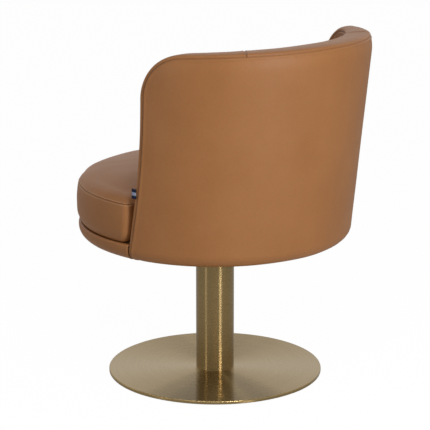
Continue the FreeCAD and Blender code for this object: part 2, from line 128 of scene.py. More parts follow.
# Moulded rubber: matt and nearly black, with the fine grit of the mould.
rubber, tree, shader, place = new_material("moulded rubber")
grit = add_node(tree, "ShaderNodeTexNoise", {"Vector": place, "Scale": 900.0, "Detail": 3.0})
rubber_tone = add_node(tree, "ShaderNodeMix", {
    "Factor": grit, 6: linear("#1C1C1C"), 7: linear("#2B2A29")}, data_type="RGBA")
grit_bump = add_node(tree, "ShaderNodeBump", {"Height": grit, "Strength": 0.4, "Distance": 0.0002})
fill_in(shader, {"Roughness": 0.85, "Base Color": rubber_tone.outputs[2], "Normal": grit_bump})
dress("grip_ring", rubber)

# Column: a steel tube of the plate's finish. A steel boss in its foot takes the screws from under
# the plate, and a turned head closes its top and carries the swivel.
dress("column_tube", brass)
dress("bearing_housing", brass)

# Zinc plated steel: the grey of screws and pressed plates, a little blue, in soft patches where
# the plating took unevenly.
zinc, tree, shader, place = new_material("zinc plated steel")
patches = add_node(tree, "ShaderNodeTexNoise", {"Vector": place, "Scale": 120.0, "Detail": 4.0})
zinc_tone = add_node(tree, "ShaderNodeMix", {
    "Factor": patches, 6: linear("#A3A6A8"), 7: linear("#C3C5C4")}, data_type="RGBA")
zinc_polish = add_node(tree, "ShaderNodeMapRange", {"Value": patches, "To Min": 0.25, "To Max": 0.5})
fill_in(shader, {"Metallic": 1.0, "Base Color": zinc_tone.outputs[2], "Roughness": zinc_polish})
for node in ("column_foot", "column_screws", "spindle", "spindle_washer", "spindle_bolt", "swivel_plate",
             "plate_bolts", "plate_washers", "tee_nuts", "ring_screws", "rail_screws", "back_screws",
             "cover_staples"):
    dress(node, zinc)

# Bearing: hardened steel races and balls, ground to a near mirror, in a moulded cage.
ground_steel, tree, shader, place = new_material("ground bearing steel")
oil_film = add_node(tree, "ShaderNodeTexNoise", {"Vector": place, "Scale": 200.0, "Detail": 2.0})
film_polish = add_node(tree, "ShaderNodeMapRange", {"Value": oil_film, "To Min": 0.08, "To Max": 0.22})
fill_in(shader, {"Metallic": 1.0, "Base Color": linear("#C9CACC"), "Roughness": film_polish})
for node in ("lower_race", "upper_race", "bearing_balls"):
    dress(node, ground_steel)

# Acetal: the off-white plastic of bushes and ball cages, slightly waxy, with faint flow marks.
acetal, tree, shader, place = new_material("moulded acetal")
flow = add_node(tree, "ShaderNodeTexNoise", {
    "Vector": place, "Scale": 60.0, "Detail": 3.0, "Distortion": 1.5})
acetal_tone = add_node(tree, "ShaderNodeMix", {
    "Factor": flow, 6: linear("#DAD7CC"), 7: linear("#E8E5DB")}, data_type="RGBA")
fill_in(shader, {"Roughness": 0.4, "IOR": 1.48, "Base Color": acetal_tone.outputs[2]})
for node in ("upper_bush", "lower_bush", "ball_cage"):
    dress(node, acetal)

# Plywood: the round seat board on its base ring, and the two bent sheets that stand on its edge,
# a low rail in front and the tub's shell behind. All is birch, glued from veneers of 1.5 mm, and
# the upholstery covers it.
seat_radius = 0.284
lean = math.tan(math.radians(7.13))
lean_start = 0.3284
veneer = 0.0015
for name, bent, nodes in (("birch plywood, flat", False, ("base_ring", "seat_board")),
                          ("birch plywood, bent", True, ("front_rail", "back_board"))):
    plywood, tree, shader, place = new_material(name)
    parts = add_node(tree, "ShaderNodeSeparateXYZ", {0: place})
    if bent:
        rise = add_node(tree, "ShaderNodeMath", {
            0: parts.outputs["Z"], 1: lean_start}, operation="SUBTRACT")
        moved = add_node(tree, "ShaderNodeMath", {
            0: rise, 1: -lean, 2: parts.outputs["Y"]}, operation="MULTIPLY_ADD")
        flat_place = add_node(tree, "ShaderNodeCombineXYZ", {"X": parts.outputs["X"], "Y": moved})
        from_middle = add_node(tree, "ShaderNodeVectorMath", {0: flat_place}, operation="LENGTH")
        depth = from_middle.outputs["Value"]
        grain_stretch = (40.0, 40.0, 600.0)
    else:
        depth = parts.outputs["Z"]
        grain_stretch = (40.0, 600.0, 600.0)
    layers = add_node(tree, "ShaderNodeMath", {0: depth, 1: 1 / veneer}, operation="MULTIPLY")
    odd_layer = add_node(tree, "ShaderNodeMath", {0: layers, 1: 1.0}, operation="PINGPONG")
    long_grain = add_node(tree, "ShaderNodeMapping", {"Vector": place, "Scale": grain_stretch})
    fibres = add_node(tree, "ShaderNodeTexNoise", {"Vector": long_grain, "Scale": 1.0, "Detail": 4.0})
    layer_tone = add_node(tree, "ShaderNodeMix", {
        "Factor": odd_layer, 6: linear("#C9A877"), 7: linear("#DDC296")}, data_type="RGBA")
    wood_tone = add_node(tree, "ShaderNodeMix", {
        "Factor": fibres, 6: layer_tone.outputs[2], 7: linear("#B98F5C")}, data_type="RGBA")
    fibre_bump = add_node(tree, "ShaderNodeBump", {"Height": fibres, "Strength": 0.3, "Distance": 0.0003})
    fill_in(shader, {"Roughness": 0.6, "Base Color": wood_tone.outputs[2], "Normal": fibre_bump})
    for node in nodes:
        dress(node, plywood)

# Deck pad: needled grey felt, laid on the board so that the cushion doesn't knock on the nuts. It
# fills the tub's floor and reaches out to the front band.
board_top = 0.3313
deck_top = 0.336
back_top = 0.7381
tub_radius_low, tub_radius_high = 0.2455, 0.2695
wall_low, wall_high = 0.0515, 0.070


def up_the_tub(z):
    return (z - board_top) / (back_top - board_top)


def tub_radius(z):
    return tub_radius_low + (tub_radius_high - tub_radius_low) * up_the_tub(z)


def tub_centre(z):
    thickness = wall_low + (wall_high - wall_low) * up_the_tub(z)
    return seat_radius + lean * (z - lean_start) - thickness - tub_radius(z)


def seat_outline(front, rear, rear_centre, ear_y, corner, counts=(70, 10, 8, 70)):
    """Round in front, narrower between the wings behind, with an ear at each side where they meet."""
    corner_y = ear_y - corner
    corner_x = math.sqrt((front - corner) ** 2 - corner_y ** 2)
    meet = math.atan2(corner_y, corner_x)
    neck_x = math.sqrt(rear ** 2 - (ear_y - rear_centre) ** 2)
    rear_turn = math.atan2(ear_y - rear_centre, neck_x)
    half = []
    for turn in np.linspace(-math.pi / 2, meet, counts[0], endpoint=False):
        half.append((front * math.cos(turn), front * math.sin(turn)))
    for turn in np.linspace(meet, math.pi / 2, counts[1], endpoint=False):
        half.append((corner_x + corner * math.cos(turn), corner_y + corner * math.sin(turn)))
    for share in np.linspace(0.0, 1.0, counts[2], endpoint=False):
        half.append((corner_x + (neck_x - corner_x) * share, ear_y))
    for turn in np.linspace(rear_turn, math.pi / 2, counts[3]):
        half.append((rear * math.cos(turn), rear_centre + rear * math.sin(turn)))
    half = np.array(half)
    half[0, 0] = half[-1, 0] = 0.0
    return np.concatenate([half, half[-2:0:-1] * (-1, 1)])


def new_piece(name, points, faces, materials, face_materials=None):
    """A mesh object at the origin, smooth all over."""
    mesh = bpy.data.meshes.new(name)
    mesh.from_pydata([tuple(point) for point in points], [], faces)
    for material in materials:
        mesh.materials.append(material)
    if face_materials is not None:
        mesh.polygons.foreach_set("material_index", face_materials)
    mesh.shade_smooth()
    mesh.update()
    piece = bpy.data.objects.new(name, mesh)
    bpy.context.scene.collection.objects.link(piece)
    return piece


def closed_rings(rings):
    """Points and faces of a form made of rings from its lowest middle to its highest middle."""
    count = len(rings[0])
    low_middle, high_middle = np.mean(rings[0], axis=0), np.mean(rings[-1], axis=0)
    points = np.concatenate([low_middle[None]] + list(rings) + [high_middle[None]])
    faces = []
    last = len(points) - 1
    for index in range(count):
        after = (index + 1) % count
        faces.append((0, 1 + after, 1 + index))
        for ring in range(len(rings) - 1):
            low = 1 + ring * count
            high = low + count
            faces.append((low + index, low + after, high + after, high + index))
        top = 1 + (len(rings) - 1) * count
        faces.append((top + index, top + after, last))
    return points, faces


# Needled felt: grey with lighter and darker fibres, matt.
felt, tree, shader, place = new_material("needled felt")
fibres = add_node(tree, "ShaderNodeTexNoise", {
    "Vector": place, "Scale": 700.0, "Detail": 5.0, "Roughness": 0.7})
felt_tone = add_node(tree, "ShaderNodeMix", {
    "Factor": fibres, 6: linear("#4A4845"), 7: linear("#777470")}, data_type="RGBA")
felt_bump = add_node(tree, "ShaderNodeBump", {"Height": fibres, "Strength": 0.7, "Distance": 0.0008})
fill_in(shader, {"Roughness": 0.95, "Base Color": felt_tone.outputs[2], "Normal": felt_bump})

pad_radius, pad_gap, pad_ear_y, pad_corner = 0.266, 0.0005, 0.0275, 0.004
pad_rings = []
for z, inset in ((board_top, 0.012), (board_top, 0.0015), (0.3325, 0.0005), (0.3348, 0.0005),
                 (deck_top, 0.0015), (deck_top, 0.012), (deck_top, 0.06), (deck_top, 0.14)):
    outline = seat_outline(pad_radius - inset, tub_radius(z) - pad_gap - inset, tub_centre(z),
                           pad_ear_y - inset, pad_corner)
    if inset > 0.05:
        outline = pad_rings[-1][:, :2] * (1 - inset / 0.2)
    pad_rings.append(np.column_stack([outline, np.full(len(outline), z)]))
pad = new_piece("felt_deck_pad", *closed_rings(pad_rings), [felt])
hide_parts("deck_pad")
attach(pad, "seat")

# Front band: leather over foam, round the front of the seat frame from wing to wing. Its top edge is
# turned in over the bent rail, and its foot is drawn round the base ring and stapled underneath.
underside = 0.3014
hem_radius = 0.027
hem_width = 0.022
round_length = hem_radius * math.pi / 2
wing_foot_y, wing_top_y = 0.0278, 0.0741
wing_rise = 0.4186
wing_bow = 0.0137
wing_roll = 0.004
roll_start, roll_end = 0.312, 0.362
band_end_tucked = 0.0015
band_length = 3.3 * seat_radius
cushion_reach, cushion_shadow = 0.003, 0.004
band_edge_radius = 0.0045
band_turned_in = (0.007, 0.011, 0.016)
leather_thickness = 0.0015


def wall_ring(climb):
    """Radius, middle and height of the outer wall's circle, by the way climbed up the leather. The
    climb is 0 where the wall starts to lean, and below zero round the hem and in under the seat."""
    if climb >= 0:
        return seat_radius, lean * climb, lean_start + climb
    turn = min(-climb / hem_radius, math.pi / 2)
    under = max(-climb - round_length, 0.0)
    return (seat_radius - hem_radius + hem_radius * math.cos(turn) - under, 0.0,
            lean_start - hem_radius * math.sin(turn))


def wing_front_arc():
    """Middle (y, z) and radius of the long arc of the wing's front edge, seen from the side."""
    rise, run = wing_rise, wing_top_y - wing_foot_y
    chord = math.hypot(rise, run)
    radius = chord ** 2 / (8 * wing_bow) + wing_bow / 2
    reach = radius - wing_bow
    return (np.array([(wing_foot_y + wing_top_y) / 2 - reach * rise / chord,
                      underside + rise / 2 + reach * run / chord]), radius)


def wing_front_y(z, inset=0.0):
    middle, radius = wing_front_arc()
    return middle[0] + math.sqrt((radius + inset) ** 2 - (z - middle[1]) ** 2)


def eased(share):
    """An even way from 0 to 1 made one that starts and ends softly."""
    return share * share * (3 - 2 * share)


def wing_roll_at(z):
    """How far the wing's edge bulges forward: fully above the deck, not at all at the foot."""
    return wing_roll * eased(min(max((z - roll_start) / (roll_end - roll_start), 0.0), 1.0))


def grid_faces(rows, columns):
    index = np.arange(rows * columns).reshape(rows, columns)
    corners = (index[:-1, :-1], index[:-1, 1:], index[1:, 1:], index[1:, :-1])
    return np.stack([corner.ravel() for corner in corners], axis=1).tolist()


def grid_normals(grid):
    across = np.gradient(grid, axis=1)
    along = np.gradient(grid, axis=0)
    normals = np.cross(across, along)
    return normals / np.maximum(np.linalg.norm(normals, axis=2, keepdims=True), 1e-12)


def hump(away, width):
    """A smooth swelling, 1 at its top and fading within about its width."""
    return np.exp(-(away / width) ** 2)


def uneven(points, size, seed):
    """Smooth noise from -1 to 1 at each point, with humps of about that size in metres."""
    shift = Vector((seed * 7.31, seed * 3.17, seed * 5.71))
    flat = points.reshape(-1, 3)
    values = [noise.noise(Vector(point) / size + shift) for point in flat.tolist()]
    return np.array(values).reshape(points.shape[:-1])


def mark_painted_shade(piece, shade_share):
    """Keep how much painted shade each point gets, 1 full and 0 none, for the leather to read."""
    attribute = piece.data.attributes.new("painted_shade", "FLOAT", "POINT")
    attribute.data.foreach_set("value", np.asarray(shade_share, np.float32).ravel())


def give_thickness(piece, thickness, offset=-1.0):
    """Thicken a sheet inwards, or to both sides at offset 0."""
    shell = piece.modifiers.new("thickness", "SOLIDIFY")
    shell.thickness = thickness
    shell.offset = offset


# Polyurethane leather: a tan coated cloth with a satin top. Its embossed grain has cells of about 1.2 mm
# between fine creases, and its dye is a little uneven. Shade is painted into its colour: darker down in
# the seams, at the cushion's foot, and on the band under the cushion's edge.
leather, tree, shader, place = new_material("polyurethane leather")
clouds = add_node(tree, "ShaderNodeTexNoise", {
    "Vector": place, "Scale": 11.0, "Detail": 3.0, "Roughness": 0.55})
specks = add_node(tree, "ShaderNodeTexNoise", {
    "Vector": place, "Scale": 240.0, "Detail": 3.0, "Roughness": 0.6})
cells = add_node(tree, "ShaderNodeTexVoronoi", {
    "Vector": place, "Scale": 830.0}, feature="DISTANCE_TO_EDGE")
pulls = add_node(tree, "ShaderNodeTexNoise", {"Vector": place, "Scale": 55.0, "Detail": 3.0})
dye = add_node(tree, "ShaderNodeMix", {
    "Factor": clouds, 6: linear("#9B6639"), 7: linear("#A97345")}, data_type="RGBA")
dye_specks = add_node(tree, "ShaderNodeMix", {
    "Factor": 0.12, 6: dye.outputs[2], 7: specks.outputs["Color"]},
                      data_type="RGBA", blend_type="OVERLAY")
# Painted shade: where the mesh's attribute asks for it (in seams, at the cushion's foot, under the
# cushion's edge), the dye is mixed towards a dark brown.
painted_shade = add_node(tree, "ShaderNodeAttribute", attribute_name="painted_shade")
shade_amount = add_node(tree, "ShaderNodeMath", {0: painted_shade.outputs["Fac"], 1: 0.6}, operation="MULTIPLY")
shaded_tone = add_node(tree, "ShaderNodeMix", {
    "Factor": shade_amount, 6: dye_specks.outputs[2], 7: linear("#4A2A14")}, data_type="RGBA")
creases = add_node(tree, "ShaderNodeMapRange", {"Value": cells.outputs["Distance"], "From Max": 0.12})
crease_bump = add_node(tree, "ShaderNodeBump", {
    "Height": creases, "Strength": 0.35, "Distance": 0.00012})
pull_bump = add_node(tree, "ShaderNodeBump", {
    "Height": pulls, "Strength": 0.35, "Distance": 0.0008, "Normal": crease_bump})
gloss = add_node(tree, "ShaderNodeMapRange", {"Value": specks, "To Min": 0.42, "To Max": 0.56})
fill_in(shader, {
    "IOR": 1.46, "Specular IOR Level": 0.35, "Base Color": shaded_tone.outputs[2],
    "Roughness": gloss, "Normal": pull_bump})

band_rows = [wall_ring(climb) for climb in np.concatenate([
    np.linspace(-round_length - hem_width, -round_length, 5, endpoint=False),
    np.linspace(-round_length, 0.0, 15)])]
wall_rows = len(band_rows)
edge_z = deck_top - band_edge_radius
for turn in np.linspace(0.0, math.pi / 2, 9):
    z = edge_z + band_edge_radius * math.sin(turn)
    inward = band_edge_radius * (1 - math.cos(turn))
    band_rows.append((seat_radius - inward, lean * (z - lean_start), z))
for inward in band_turned_in:
    band_rows.append((seat_radius - inward, lean * (deck_top - lean_start), deck_top))
near_end = np.geomspace(0.0012, 0.02, 14) - 0.0012
along_band = np.concatenate([near_end, np.linspace(0.02, 0.98, 170)[1:-1], 1 - near_end[::-1]])
grid = []
for radius, middle_y, z in band_rows:
    edge = math.acos((wing_front_y(z) - wing_roll_at(z) + band_end_tucked - middle_y) / radius)
    turns = edge + (2 * math.pi - 2 * edge) * along_band
    grid.append(np.column_stack([radius * np.sin(turns), middle_y + radius * np.cos(turns),
                                 np.full(len(turns), z)]))
grid = np.array(grid)
to_seam = np.minimum(along_band, 1 - along_band) * band_length
dent = -0.0008 * hump(to_seam, 0.0012) + 0.0006 * hump(to_seam - 0.0035, 0.002)
grid = grid[:, ::-1]
grid = grid + grid_normals(grid) * (dent[None, ::-1] + 0.0004 * uneven(grid, 0.07, 1))[..., None]
band = new_piece("front_band", grid.reshape(-1, 3), grid_faces(*grid.shape[:2]), [leather])
# Painted shade on the band: darker at the seams at its ends, and a painted shadow where it runs in under
# the cushion's edge.
row_radii = np.array([row[0] for row in band_rows])
painted_cushion_shadow = np.clip((seat_radius - cushion_reach - row_radii) / cushion_shadow, 0.0, 1.0)
painted_cushion_shadow[:wall_rows] = 0.0
mark_painted_shade(band, np.maximum(np.exp(-to_seam / 0.0008)[None, :] * 0.6, painted_cushion_shadow[:, None]))
give_thickness(band, leather_thickness)
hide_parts("front_band_cover", "band_foam")
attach(band, "seat")

# Tub back: foam over the bent shell, covered by one leather panel outside, one inside, and a border
# strip in three lengths that rolls over the rim and down both front edges. The panels are sewn to
# the strip with plain seams, which draw in a little all the way round.
corner_radius = 0.093
tilt = math.radians(3.49)
cross_seam = math.radians(41.0)
lowest_cross_seam = 0.6
seam_drop_rim, seam_drop_wing = 0.0072, 0.0060
rim_rounding, wing_rounding, rounding_reach = 0.0065, 0.0010, 0.032
seam_depth_in, seam_groove = 0.0026, 0.0017
lip_height, lip_away, lip_width = 0.0014, 0.0042, 0.0022
pucker_height, pucker_size, pucker_reach = 0.0007, 0.011, 0.012


def spaced(length, fine_start, fine_end, fine=0.0006, coarse=0.006, growth=1.35):
    """Shares from 0 to 1 of a stretch, close together at the ends that need it."""
    left = length
    start = fine if fine_start else coarse
    end = fine if fine_end else coarse
    first, last = [], []
    while left > 2 * coarse and (start < coarse or end < coarse):
        if start < coarse:
            first.append(start)
            left -= start
            start *= growth
        if end < coarse:
            last.append(end)
            left -= end
            end *= growth
    count = max(int(math.ceil(left / coarse)), 1)
    steps = first + [left / count] * count + last[::-1]
    return np.concatenate([[0.0], np.cumsum(steps)]) / length


def walk(line, shares):
    """Points at shares of the way along a line, with all that its rows hold."""
    steps = np.linalg.norm(np.diff(line, axis=0), axis=1)
    along = np.concatenate([[0.0], np.cumsum(steps)])
    wanted = np.asarray(shares) * along[-1]
    return np.column_stack([np.interp(wanted, along, line[:, axis]) for axis in range(line.shape[1])])


def side_stretches(inside):
    """The seam line of one panel at the +X side, in five stretches from the wing's foot to the
    middle of the rim: each row is x, y, z, the strip's outward direction in y and z, and how far the
    outer panel rounds inwards there."""
    middle, radius = wing_front_arc()
    along = np.array([math.cos(tilt), math.sin(tilt)])
    upward = np.array([-math.sin(tilt), math.cos(tilt)])
    rim_back = np.array([seat_radius + lean * (back_top - lean_start), back_top])
    start = rim_back - upward * corner_radius
    shade_share = (start - middle) @ along
    excess = (start - middle) @ (start - middle) - (radius + corner_radius) ** 2
    corner = start + along * (math.sqrt(shade_share ** 2 - excess) - shade_share)
    touch = math.atan2(corner[1] - middle[1], corner[0] - middle[0])
    foot = math.asin((underside - middle[1]) / radius)
    lines = []
    for turn in np.linspace(foot, touch, 200):
        out = np.array([math.cos(turn), math.sin(turn)])
        lines.append((0, middle + out * radius, -out, seam_drop_wing))
    for turn in np.linspace(touch + math.pi, math.pi / 2 + tilt, 200)[1:]:
        out = np.array([math.cos(turn), math.sin(turn)])
        share = eased((touch + math.pi - turn) / (touch + math.pi / 2 - tilt))
        lines.append((1 if share < 0.5 else 2, corner + out * corner_radius, out,
                      seam_drop_wing + (seam_drop_rim - seam_drop_wing) * share))
    rim_start = corner + upward * (corner_radius - seam_drop_rim)
    if inside:
        wall_slope = (wall_high - wall_low) / (back_top - board_top)
        slope = lean - wall_slope
        offset = (seat_radius - wall_low + lean * (rim_start[1] - lean_start)
                  - wall_slope * (rim_start[1] - board_top))
    else:
        slope = lean
        offset = seat_radius + lean * (rim_start[1] - lean_start)
    rim_length = (offset - rim_start[0]) / (along[0] - slope * along[1])
    for turn in np.linspace(0.0, math.pi / 2, 400)[1:]:
        point = rim_start + along * rim_length * math.sin(turn)
        lines.append((3, point + upward * seam_drop_rim, upward, seam_drop_rim))
    rows, kinds = [], []
    for kind, point, out, drop in lines:
        y, z = point - out * drop
        if inside:
            half_width = tub_radius(z) ** 2 - (y - tub_centre(z)) ** 2
        elif z >= lean_start:
            half_width = seat_radius ** 2 - (y - lean * (z - lean_start)) ** 2
        else:
            fall = min(lean_start - z, hem_radius)
            half_width = (seat_radius - hem_radius + math.sqrt(hem_radius ** 2 - fall ** 2)) ** 2 - y ** 2
        x = math.sqrt(max(half_width, 0.0))
        if kind == 3 and math.atan2(x, y - lean * (back_top - lean_start)) < cross_seam:
            kind = 4
        rimward = (drop - seam_drop_wing) / (seam_drop_rim - seam_drop_wing)
        rows.append((x, y, z, out[0], out[1], wing_rounding + (rim_rounding - wing_rounding) * rimward))
        kinds.append(kind)
    rows, kinds = np.array(rows), np.array(kinds)
    stretches = []
    for kind in range(5):
        chosen = np.flatnonzero(kinds == kind)
        first = max(chosen[0] - 1, 0)
        stretches.append(rows[first:chosen[-1] + 1])
    return stretches


outer_stretches, inner_stretches = side_stretches(False), side_stretches(True)
shares = []
for kind, stretch in enumerate(outer_stretches):
    length = np.linalg.norm(np.diff(stretch[:, :3], axis=0), axis=1).sum()
    shares.append(spaced(length, kind in (2, 4), kind in (1, 3)))


def seam_line(stretches, chosen):
    """Chosen stretches as one line, without the point that each shares with the one before it."""
    parts = [walk(stretches[kind], shares[kind]) for kind in chosen]
    return np.concatenate(parts[:1] + [part[1:] for part in parts[1:]])


def mirrored(line):
    """The half line on to the middle, then back down the other side."""
    other = line[-2::-1].copy()
    other[:, 0] *= -1
    return np.concatenate([line, other])


def way_along(line):
    """How far along a line each of its points is, as a share of the whole."""
    steps = np.linalg.norm(np.diff(line[:, :3], axis=0), axis=1)
    along = np.concatenate([[0.0], np.cumsum(steps)])
    return along / along[-1]


def fill_between(bottom, top, left, right, across, up):
    """Spread a grid between four edge lines that share their corners."""
    u, v = across[None, :, None], up[:, None, None]
    plane = (1 - v) * bottom[None] + v * top[None] + (1 - u) * left[:, None] + u * right[:, None]
    corners = ((1 - u) * (1 - v) * bottom[0] + u * (1 - v) * bottom[-1]
               + (1 - u) * v * top[0] + u * v * top[-1])
    return plane - corners


def rounded_in(line):
    """The outer seam moved inwards to where the rounding of the outer panel takes it."""
    moved = line.copy()
    middle_y = lean * np.maximum(line[:, 2] - lean_start, 0.0)
    scale = 1 - line[:, 5] / seat_radius
    moved[:, 0] *= scale
    moved[:, 1] = middle_y + (line[:, 1] - middle_y) * scale
    return moved


def search_tree(points):
    """Points in a tree that finds the nearest one."""
    found = KDTree(len(points))
    for index, point in enumerate(points.tolist()):
        found.insert(point, index)
    found.balance()
    return found


def seam_effects(grid, line, seed, rounding=False):
    """How far leather stands in or out near the seam line, and how much painted shade each point gets
    from being near it.
    """
    seam_points = search_tree(line[:, :3])
    found = [seam_points.find(point)[1:] for point in grid.reshape(-1, 3).tolist()]
    away = np.array([distance for index, distance in found]).reshape(grid.shape[:2])
    groove = -seam_depth_in * hump(away, seam_groove)
    lip = lip_height * hump(away - lip_away, lip_width)
    pucker = pucker_height * uneven(grid, pucker_size, seed) * np.exp(-away / pucker_reach)
    effects = groove + lip + pucker
    if rounding:
        depth = np.array([line[index, 5] for index, distance in found]).reshape(grid.shape[:2])
        effects -= depth * np.clip(1 - away / rounding_reach, 0.0, 1.0) ** 2
    return effects, hump(away, 0.0018)


def dense(line, spacing=0.0008):
    """The same line with a point every so many metres."""
    length = np.linalg.norm(np.diff(line[:, :3], axis=0), axis=1).sum()
    return walk(line, np.linspace(0.0, 1.0, int(length / spacing)))


outer_side = seam_line(outer_stretches, (0, 1))
outer_top = mirrored(seam_line(outer_stretches, (2, 3, 4)))


def on_wall(line):
    """Turn round the wall and climb up it, for points that lie on the outer wall."""
    x, y, z = line[:, 0], line[:, 1], line[:, 2]
    climb = np.where(z >= lean_start, z - lean_start,
                     -hem_radius * np.arcsin(np.clip((lean_start - z) / hem_radius, 0.0, 1.0)))
    return np.column_stack([np.arctan2(x, y - lean * np.maximum(climb, 0.0)), climb])


side_edge = on_wall(outer_side)
hem_turn = math.acos((wing_foot_y + seam_drop_wing) / (seat_radius - hem_radius - hem_width))
hem = np.column_stack([np.linspace(hem_turn, side_edge[0, 0], 6, endpoint=False),
                       np.linspace(-round_length - hem_width, side_edge[0, 1], 6, endpoint=False)])
side_edge = np.concatenate([hem, side_edge])
top_edge = on_wall(outer_top)
across = way_along(outer_top)
up = way_along(side_edge * (seat_radius, 1.0))
bottom_edge = np.column_stack([hem_turn * (1 - 2 * across), np.full(len(across), side_edge[0, 1])])
plane = fill_between(bottom_edge, top_edge, side_edge, side_edge * (-1, 1), across, up)
grid = np.empty(plane.shape[:2] + (3,))
for row in range(plane.shape[0]):
    for column in range(plane.shape[1]):
        turn, climb = plane[row, column]
        radius, middle_y, z = wall_ring(climb)
        grid[row, column] = (radius * math.sin(turn), middle_y + radius * math.cos(turn), z)
outer_line = mirrored(np.concatenate([outer_side, seam_line(outer_stretches, (2, 3, 4))[1:]]))
effects, shade_share = seam_effects(grid, dense(outer_line), 2, rounding=True)
grid = grid + grid_normals(grid) * (effects + 0.0005 * uneven(grid, 0.09, 3))[..., None]
outer_panel = new_piece("outer_back_panel", grid.reshape(-1, 3), grid_faces(*grid.shape[:2]), [leather])
# Painted shade: the leather is darker along its seams.
mark_painted_shade(outer_panel, shade_share)
give_thickness(outer_panel, leather_thickness)
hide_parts("back_outer_cover", "back_outer_foam")
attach(outer_panel, "seat")

inner_side = seam_line(inner_stretches, (0, 1))
first = int(np.argmax(inner_side[:, 2] > board_top + 0.001))
inner_side = inner_side[first:]
inner_top = mirrored(seam_line(inner_stretches, (2, 3, 4)))


def on_tub(line):
    centres = np.array([tub_centre(z) for z in line[:, 2]])
    return np.column_stack([np.arctan2(line[:, 0], line[:, 1] - centres), line[:, 2]])


side_edge, top_edge = on_tub(inner_side), on_tub(inner_top)
across, up = way_along(inner_top), way_along(inner_side)
bottom_edge = np.column_stack([side_edge[0, 0] * (1 - 2 * across), np.full(len(across), side_edge[0, 1])])
plane = fill_between(bottom_edge, top_edge, side_edge, side_edge * (-1, 1), across, up)
turns, heights = plane[..., 0], plane[..., 1]
radii, centres = tub_radius(heights), tub_centre(heights)
grid = np.stack([radii * np.sin(turns), centres + radii * np.cos(turns), heights], axis=2)
inner_line = mirrored(np.concatenate([seam_line(inner_stretches, (0, 1)),
                                      seam_line(inner_stretches, (2, 3, 4))[1:]]))
effects, shade_share = seam_effects(grid, dense(inner_line), 4)
grid = grid - grid_normals(grid) * (effects + 0.0008 * uneven(grid, 0.11, 5))[..., None]
inner_panel = new_piece("inner_back_panel", grid.reshape(-1, 3),
                        [face[::-1] for face in grid_faces(*grid.shape[:2])], [leather])
# Painted shade: the leather is darker along its seams.
mark_painted_shade(inner_panel, shade_share)
give_thickness(inner_panel, leather_thickness)
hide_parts("back_inner_cover", "back_inner_foam")
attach(inner_panel, "seat")

# The strip's section goes from the outer seam over the roll to the inner seam, and swells a little
# past both panels.
fine_turns = np.linspace(0.0, 0.6, 9)
section_turns = np.concatenate([fine_turns, np.linspace(0.6, math.pi - 0.6, 14)[1:-1],
                                math.pi - fine_turns[::-1]])
tuck_turn = 0.5
section_squareness = 3.2
swell_rim, swell_wing = 0.0008, 0.0020
half_outer = rounded_in(outer_line[:len(outer_line) // 2 + 1])
half_inner = inner_line[:len(inner_line) // 2 + 1]


def strip_grid(outer, inner):
    """The strip between two seam lines that have their points opposite each other."""
    span = inner[:, :3] - outer[:, :3]
    width = np.linalg.norm(span, axis=1, keepdims=True)
    out = np.column_stack([np.zeros(len(outer)), outer[:, 3:5]])
    facing_up = outer[:, 4:5]
    roll = np.array([wing_roll_at(z) for z in outer[:, 2]])[:, None]
    crown = roll * np.clip(1 - facing_up, 0.0, 1.0)
    drop = seam_drop_wing + (seam_drop_rim - seam_drop_wing) * np.clip(facing_up, 0.0, 1.0)
    swell = swell_rim + (swell_wing - swell_rim) * np.clip(1 - facing_up, 0.0, 1.0)
    bend = 2 / section_squareness
    rows = []
    for turn in section_turns:
        side = math.copysign(abs(math.cos(turn)) ** bend, math.cos(turn))
        lift = abs(math.sin(turn)) ** bend
        tuck = eased(min(min(turn, math.pi - turn) / tuck_turn, 1.0))
        reach = width / 2 - (width / 2 + swell * tuck) * side
        rise = -seam_depth_in + (drop + crown + seam_depth_in) * lift
        rows.append(outer[:, :3] + span / width * reach + out * rise)
    return np.array(rows)


right_half = strip_grid(half_outer, half_inner)
left_half = right_half[:, -2::-1] * (-1, 1, 1)
grid = np.concatenate([right_half, left_half], axis=1)
apex_y = lean * (back_top - lean_start)
reach_out = np.hypot(grid[..., 0], grid[..., 1] - apex_y)
to_cross = np.abs(np.abs(np.arctan2(grid[..., 0], grid[..., 1] - apex_y)) - cross_seam) * reach_out
to_cross = np.where(grid[..., 2] > lowest_cross_seam, to_cross, 1.0)
dent = (-0.0016 * hump(to_cross, 0.0012) + 0.0006 * hump(to_cross - 0.0035, 0.002)
        + 0.0005 * uneven(grid, 0.012, 6) * np.exp(-to_cross / 0.01))
grid = grid + grid_normals(grid) * (dent + 0.0005 * uneven(grid, 0.045, 7))[..., None]
# Painted shade: the strip is darker along both its seams and at the cross seams.
edge_fade = np.minimum(section_turns, math.pi - section_turns)
shade_share = np.maximum(np.exp(-edge_fade / 0.13)[:, None], np.exp(-to_cross / 0.0012))
columns = grid.shape[1]
first_seam = len(half_outer) - len(shares[4])
seam_columns = [first_seam, columns - 1 - first_seam]
for node, start, stop in (("wing_border_left", 0, seam_columns[0]),
                          ("rim_border", seam_columns[0], seam_columns[1]),
                          ("wing_border_right", seam_columns[1], columns - 1)):
    part = grid[:, start:stop + 1]
    strip = new_piece(node + "_strip", part.reshape(-1, 3), grid_faces(*part.shape[:2]), [leather])
    mark_painted_shade(strip, shade_share[:, start:stop + 1])
    give_thickness(strip, leather_thickness)
    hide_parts(node)
    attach(strip, "seat")

